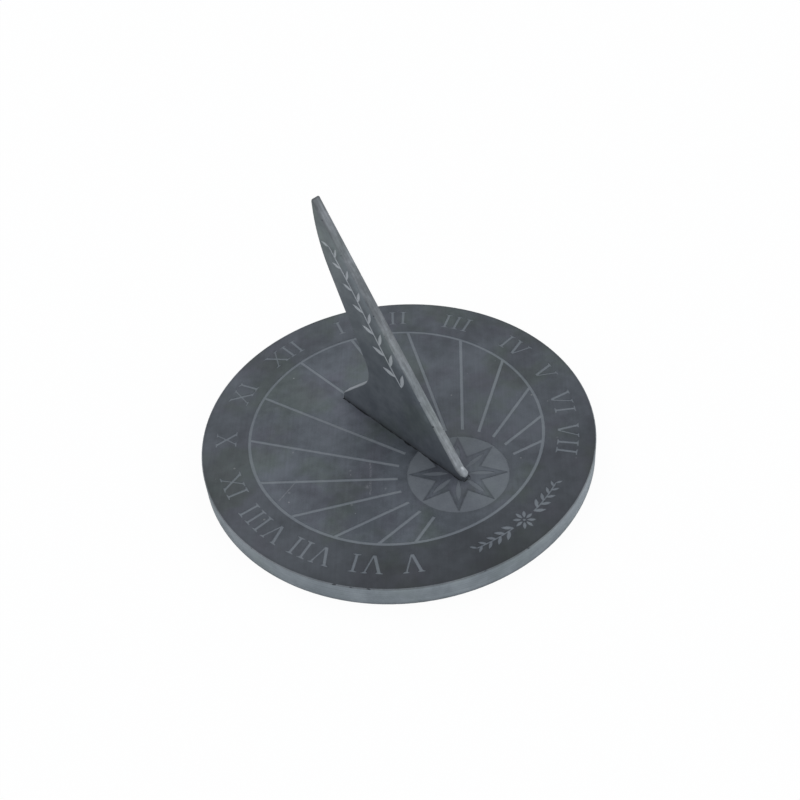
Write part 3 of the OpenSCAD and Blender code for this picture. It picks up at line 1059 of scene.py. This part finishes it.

# %% Painted shade on the face and the rim, and a breath of violet
RING_FADE = 1 * MM          # the rim's darker tone begins within this distance of the ring
SOUTH, SOUTH_EAST, WEST = (-0.17, -0.98, 0), (0.78, -0.62, 0), (-1, 0, 0)
# These are painted shade and light: paler to the north-west, darker to the south-east and on the rim.
INNER_SHADE = 1.06, 0.87    # inside the ring, from the middle to half way south-east
RIM_SHADE, SOUTH_SHADE, WEST_SHADE = (0.84, 0.68), (1, 0.64), (1, 0.9)     # the rim's, towards each side
VIOLET, VIOLET_SHARE = tone(243, 232, 240), 0.6
VIOLET_ASIDE = 0.7, 0.2, 0.4


def towards(spot, way):
    """How far a place lies in some direction, as a share of the plate's radius."""
    return math_node("DIVIDE", vector_node("DOT_PRODUCT", spot, way), PLATE_R)


from_ring = vector_node("DISTANCE", flat_spot, (0, DIAL_NORTH, 0))
on_rim = ramp(from_ring, RING_R - RING_FADE, RING_R + RING_FADE)
southward = towards(flat_spot, SOUTH)
inner_shade = ramp(towards(flat_spot, SOUTH_EAST), 0, 0.5, *INNER_SHADE)
rim_shade = times(ramp(southward, -0.2, 0.6, *RIM_SHADE), ramp(southward, 0.5, 1, *SOUTH_SHADE),
                  ramp(towards(flat_spot, WEST), 0.3, 0.9, *WEST_SHADE))
tint(face, math_node("MULTIPLY_ADD", on_rim, math_node("SUBTRACT", rim_shade, inner_shade), inner_shade))
violet_at = ramp(noise(vector_node("ADD", face_spot, VIOLET_ASIDE), 34, 3), 0.48, 0.62)
lay(face, times(violet_at, VIOLET_SHARE), VIOLET, "MULTIPLY")
print("the rim's tone begins", round(RING_R / MM, 1), "mm from the ring's centre")

# %% [markdown]
# ## Painted shade and light, and a rubbed star
# Painted shade darkens the face along the star's edges, round the rose's rim, in the corner between the
# rose and the fin, and along the plate's edge. The star itself is rubbed a little paler. Beside the fin
# the face has painted light to the west and painted shade close by its middle, and the sawn side has
# painted shade at its foot and is darker towards its west end.

# %% Painted shade along the star's edges
STAR_EDGE_PAINTED_SHADE, PAINTED_SHADE_TONE = 0.3, tone(30, 33, 38)
for name in ("honed_face", "blasted_rose"):
    base, spot = open_finish(name)
    lay(base, times(use(star_edge, {"Vector": spot})["Mask"], STAR_EDGE_PAINTED_SHADE), PAINTED_SHADE_TONE)
print("dirt along", 2 * STAR_POINTS, "edges of the star")

# %% Painted shade round the rose and along the plate's edge, and the paler star
STAR_PALE = 1.18            # the star itself has been rubbed a little paler than the rest of the face
ROSE_LINE_SHADE_W, ROSE_LINE_SHADE = 2.4 * MM, 0.06           # a faint dark line all round the rose
PLATE_LINE_W, PLATE_LINE = 2.4 * MM, 0.14       # and one along the plate's edge
NORTH_WEST, NORTH_WEST_W, NORTH_WEST_SHADE = (-0.64, 0.77, 0), 8 * MM, 0.13
# All four are painted shade: the north-west band is the broadest, and the corner beside the fin is a spot.
CORNER_SHADE, CORNER_SHADE_R, CORNER_SHADE_DEPTH = (-5.5 * MM, -19.2 * MM, 0), 3.2 * MM, 0.22
from_rose = vector_node("SUBTRACT", flat_spot, (0, rose_centre.y, 0))
rose_reach = vector_node("LENGTH", from_rose)
north_west = math_node("DIVIDE", vector_node("DOT_PRODUCT", from_rose, NORTH_WEST), rose_reach)
band = times(ramp(rose_reach, ROSE_R + 2 * MM, ROSE_R + NORTH_WEST_W, NORTH_WEST_SHADE, 0),
             ramp(north_west, 0.6, 0.95))
corner_shade_mask = ramp(vector_node("DISTANCE", flat_spot, CORNER_SHADE), 0.4 * CORNER_SHADE_R, CORNER_SHADE_R, CORNER_SHADE_DEPTH, 0)
rose_line = ramp(rose_reach, ROSE_R + 0.6 * MM, ROSE_R + ROSE_LINE_SHADE_W, ROSE_LINE_SHADE, 0)
plate_line = ramp(vector_node("LENGTH", flat_spot), PLATE_R - PLATE_LINE_W, PLATE_R - 0.4 * PLATE_LINE_W,
                  0, PLATE_LINE)
lay(face, plus(band, corner_shade_mask, rose_line, plate_line), BLACK)
tint(face, ramp(rose_reach, ROSE_R, ROSE_R - 0.2 * MM, 1, STAR_PALE))
print("dirt reaches", round((ROSE_R + NORTH_WEST_W) / MM, 1), "mm from the rose's centre")

# %% Painted light and shade on the slate beside the fin
BESIDE_PAINTED_LIGHT, BESIDE_PAINTED_SHADE = 0.2, 0.12    # painted light to the west, up to its heel, and painted shade close beside its middle
PALE_X, PALE_Y = (-26, -15, -9, -5), (0, 7, 46, 56)     # where it begins, is full, starts to fade and ends
DARK_X, DARK_Y = (-9, -6), (-20, -14, -3, 3)            # the same for the dark; all in millimetres
x, y = split(face_spot)[:2]
pale = times(stretch(x, *PALE_X), stretch(y, *PALE_Y), BESIDE_PAINTED_LIGHT)
dark = times(fade(x, DARK_X), stretch(y, *DARK_Y), BESIDE_PAINTED_SHADE)
tint(face, plus(1, math_node("SUBTRACT", pale, dark)))
print("beside the fin the face is up to", BESIDE_PAINTED_LIGHT, "paler and", BESIDE_PAINTED_SHADE, "darker")

# %% Painted shade at the sawn side's foot, and its darker west end
# Painted shade darkens the side near the floor; the side is also darker towards the plate's west end.
SIDE_FOOT_H, SIDE_FOOT_SHADE = (0.2, 2.4), 0.68       # millimetres from the floor
SIDE_WEST, SIDE_WEST_SHADE = (0.94, 0.99), 0.86     # shares of the way to the plate's west end
base, spot = open_finish("sawn_side")
tint(base, times(fade(split(spot)["Z"], SIDE_FOOT_H, SIDE_FOOT_SHADE, 1),
                 ramp(towards(spot, WEST), *SIDE_WEST, 1, SIDE_WEST_SHADE)))
print("the side darkens below", SIDE_FOOT_H[1], "mm")

# %% [markdown]
# ## Painted light and shade, and wear, on the fin
# The fin stands in the weather and is taken hold of at its top. Painted shade and light make its flanks
# darker near the plate and paler above, and darker still at their foot, and a ragged worn band runs beside
# the style. The style's own strip is a ladder of paler and darker stretches, with painted shade on its west
# arris and round its cap and a painted highlight at its toe. All of it is a few soft ramps, measured up
# the style and in from its edge.

# %% Painted shade and light on the flanks, and their wear
# The flanks' change from the face to the top, and their darker foot, are painted shade and light.
FLANK_LOW, FLANK_HIGH = (0.72, 0.72, 0.77, 1), (1.34, 1.36, 1.29, 1)    # factors at the face and at the top
FOOT_H, FOOT_SHADE = (0.3, 4), 0.7          # millimetres above the face
WORN_IN = 2, 6.5                            # the worn band's inner limit, from full to none
WORN_UP = 12, 40, 132, 146                  # and its start and end up the style
WORN_LEAST, WORN_MOST = 0.2, 0.44
TIP_UP, TIP_SHADE = (143, 152), 0.74


def style_place(spot):
    """How far a place on the fin lies up the style from its foot, and how far in from the style's edge."""
    from_foot = vector_node("SUBTRACT", spot, tuple(style_low))
    return [vector_node("DOT_PRODUCT", from_foot, tuple(way)) for way in (style_course, inward)]


base, spot = open_finish("fin_flank")
rise = split(spot)["Z"]
up_style, inset = style_place(spot)
ragged = ramp(noise(spot, 160, 3), 0.3, 0.7, WORN_LEAST, WORN_MOST)
worn = times(ragged, stretch(up_style, *WORN_UP), math_node("SUBTRACT", 1, fade(inset, WORN_IN)))
tint(base, blend(ramp(rise, FACE_Z, fin_high.z), FLANK_LOW, FLANK_HIGH),
     ramp(rise, FACE_Z + FOOT_H[0] * MM, FACE_Z + FOOT_H[1] * MM, FOOT_SHADE, 1),
     plus(1, worn), fade(up_style, TIP_UP, 1, TIP_SHADE))
print("the worn band ends", WORN_IN[1], "mm in from the style")

# %% Painted shade, a painted highlight and streaks on the style's strip
STREAKS_ACROSS, STREAKS_UP = 700, 90        # streaks in a metre
STREAK_SHADE, PATCH_SHADE = (0.8, 1.18), (0.9, 1.1)
# The cap's darker outline is painted shade.
CAP_PAINTED_SHADE = 0.55
UP_STYLE = [(2, 8, 1.15, 1), (60, 100, 1.08, 0.74), (110, 126, 1, 1.26), (150, 158, 1, 0.82)]
EAST_ARRIS = 1.5, 2.4, 1, 0.94              # each row: from, to (millimetres), and the factors there
ARRIS_PAINTED_SHADE, WEST_ARRIS = 0.34, (-1, -2.2)   # painted shade: the west arris is darker near the toe and near the tip
DARK_TOE, DARK_TIP = (14, 6), (125, 142)
TOE_HIGHLIGHT_X, TOE_HIGHLIGHT_FROM, TOE_HIGHLIGHT_TO, TOE_HIGHLIGHT_W, TOE_HIGHLIGHT_SHARE = 1.1, 2, 1, 0.8, 0.8   # the toe's painted highlight
base, spot = open_finish("fin_ground")
up_style = style_place(spot)[0]
aside = split(spot)["X"]
stretched = joined(times(aside, STREAKS_ACROSS), times(up_style, STREAKS_UP))
tint(base, ramp(noise(stretched, 1, 3), 0.35, 0.65, *STREAK_SHADE),
     ramp(noise(spot, 420, 3), 0.35, 0.65, *PATCH_SHADE))
# Painted highlight at the foot, darker middle, paler above it, dark east arris, painted shade round the cap.
style_end = (end_point - style_low).dot(style_course) / MM
ladder = [(up_style, *row) for row in UP_STYLE]
ladder += [(aside, *EAST_ARRIS), (up_style, style_end - 1.3, style_end - 0.5, 1, CAP_PAINTED_SHADE)]
for place, low, high, at_low, at_high in ladder:
    tint(base, fade(place, (low, high), at_low, at_high))
at_ends = math_node("MAXIMUM", fade(up_style, DARK_TOE), fade(up_style, DARK_TIP))
lay(base, times(fade(aside, WEST_ARRIS, 0, ARRIS_PAINTED_SHADE), at_ends), BLACK)
nose = Vector((TOE_HIGHLIGHT_X * MM, style_low.y, style_low.z))
toe_highlight = use(scratch, {"Vector": spot, "From": tuple(nose - style_course * TOE_HIGHLIGHT_FROM * MM),
                      "To": tuple(nose - style_course * TOE_HIGHLIGHT_TO * MM), "Width": TOE_HIGHLIGHT_W * MM, "Broken": 0})
lay(base, times(toe_highlight["Mask"], TOE_HIGHLIGHT_SHARE), tone(200, 204, 208))
print("wear on the fin runs", style_mm, "mm up the style")

# %% [markdown]
# ## The three pieces
# Every face of the carved stone now gets its finish from where it lies and which way it looks. The carved
# disc and fin stand for their CAD nodes. The resin keeps its own CAD solid, since only its narrow top
# shows.

# %% Sort the disc's faces into finishes
LEVEL = 0.01 * MM
RING_BAND = 1 * MM          # blasted faces whose middle lies further in than this are hour lines
PLATE_SKINS = ["honed_face", "sawn_side", "worn_arris", "blasted_line", "blasted_hour", "blasted_rose",
               "blasted_edge", "routed_slot", "cleft_underside"]


def plate_finish(middle, normal):
    """The finish of one of the disc's faces."""
    if normal.z < -0.99 and middle.z < LEVEL:
        return "cleft_underside"
    if middle.xy.length > PLATE_R - ARRIS_BAND and normal.z < 0.999:
        return "sawn_side" if abs(normal.z) < 0.1 else "worn_arris"
    if middle.z > FACE_Z - LEVEL:
        return "honed_face"
    if middle.z < FACE_Z - BLAST_DEPTH - LEVEL:
        return "routed_slot"
    from_rose = (middle - rose_centre).xy.length
    if from_rose < ROSE_R + LEVEL:
        # The rose's outer wall takes painted light, so that its shade shows no dark line.
        return "blasted_edge" if normal.z < 0.5 and from_rose > ROSE_R - 0.1 * MM else "blasted_rose"
    return "blasted_hour" if (middle - dial_centre).xy.length < RING_R - RING_BAND else "blasted_line"


print("disc faces", sort_faces(plate_mesh, PLATE_SKINS, plate_finish))
shade(plate_mesh, 2)
plate = place_object("engraved_dial", plate_mesh)
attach(plate, "root")
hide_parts("dial_plate")

# %% Sort the fin's faces into finishes
TOE_ROUND = 4 * MM          # the toe's upright round ends within this distance of its front


def fin_finish(middle, normal):
    """The finish of one of the fin's faces. The upright round at the toe is as dark as the flanks."""
    at_toe_round = middle.y < fin_low.y + TOE_ROUND and abs(normal.z) < 0.2
    return "fin_flank" if abs(normal.x) > 0.9 or at_toe_round or middle.z < FACE_Z else "fin_ground"


print("fin faces", sort_faces(fin_mesh, ["fin_flank", "fin_ground"], fin_finish))
shade(fin_mesh, 0)
fin = place_object("eased_fin", fin_mesh)
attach(fin, "root")
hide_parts("gnomon")

# %% The resin in the slot
RESIN_DARK, RESIN_LIGHT, DUST_TONE = tone(14, 15, 17), tone(22, 23, 26), tone(72, 77, 83)
RIPPLES, RIPPLE_DEEP = 700, 0.05 * MM       # ripples in a metre, and their depth
DUST_EAST, DUST_NORTH, DUST_SOUTH = (0.5, 1.3), (-49, -51), (-53.7, -54.4)  # from clean to dusty, in mm
resin_material = named_material("set_resin")
tree = empty_tree(resin_material)
spot = add(tree, "ShaderNodeTexCoord").outputs["Object"]
x, y = split(spot)[:2]
ripple = noise(spot, RIPPLES, 2)
dusty = math_node("MAXIMUM", times(fade(x, DUST_EAST), fade(y, DUST_NORTH)), fade(y, DUST_SOUTH))
colour = blend(dusty, blend(ripple, RESIN_DARK, RESIN_LIGHT), DUST_TONE)
normal = add(tree, "ShaderNodeBump", {"Strength": 0.5, "Distance": RIPPLE_DEEP, "Height": ripple}).outputs[0]
matte = add(tree, "ShaderNodeBsdfPrincipled", {"Base Color": colour, "Roughness": 0.6, "Normal": normal})
add(tree, "ShaderNodeOutputMaterial", {"Surface": matte.outputs[0]})
resin = frame["nodes"]["slot_resin"]
resin.material_slots[0].material = resin_material
print("resin finish on", resin.name)

# %% [markdown]
# ## Clear the bench
# The stencils were only tools, so they go at the end.

# %% Remove the tools
for tool in list(stencils.objects):
    bpy.data.objects.remove(tool)
bpy.data.collections.remove(stencils)
